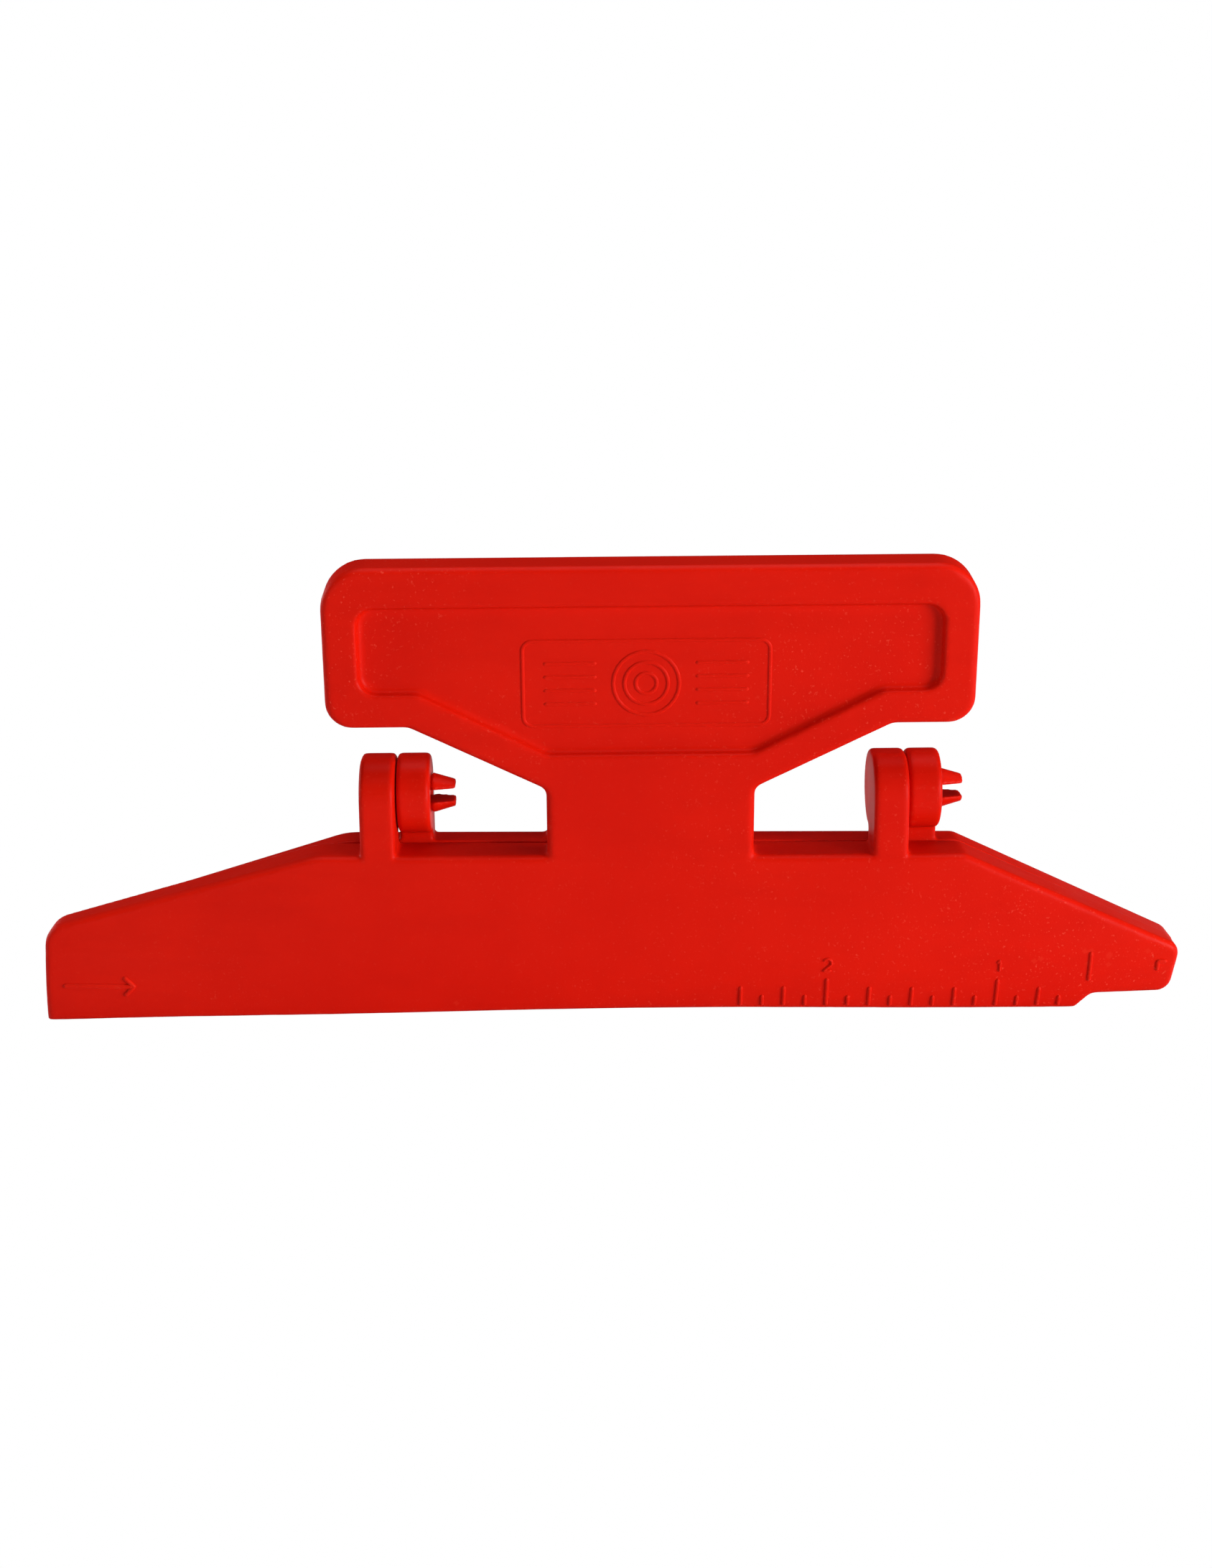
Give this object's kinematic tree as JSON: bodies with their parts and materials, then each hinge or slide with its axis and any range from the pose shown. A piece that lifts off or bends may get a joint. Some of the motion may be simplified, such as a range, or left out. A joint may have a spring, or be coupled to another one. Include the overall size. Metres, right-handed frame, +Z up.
{
  "type": "arrow fletching clamp",
  "caption": "Spring clamp with two long twisted jaws and a flat T-shaped handle, which holds a feather or vane while it is glued to an arrow shaft.",
  "frame": {"origin": "middle of the clamp's box at its lowest edge, the foot of the jaws", "axes": "+X along the jaws towards the end with the notched lip, +Y towards the back, where the jig holds it, +Z up through the handle"},
  "size_m": [0.169, 0.0232, 0.0696],
  "materials": {
    "red_plastic": "moulded, semi-matte",
    "spring_steel": "drawn wire",
    "plated_steel": "zinc plated"
  },
  "bodies": {
    "rear": {"rear_jaw": "red_plastic", "closing_spring": "spring_steel", "keeper_disc_left": "plated_steel", "keeper_disc_right": "plated_steel"},
    "front": {"front_jaw": "red_plastic"}
  },
  "joints": [
    {"name": "jaw_hinge", "type": "hinge", "parent": "rear", "child": "front", "pos_m": [0.00573, 0.00119, 0.03355], "axis": [-1, 0, 0], "range_deg": [0, 16], "stiffness_Nm_per_rad": 0.46, "springref_deg": -16.04, "deforming": ["closing_spring"]}
  ]
}
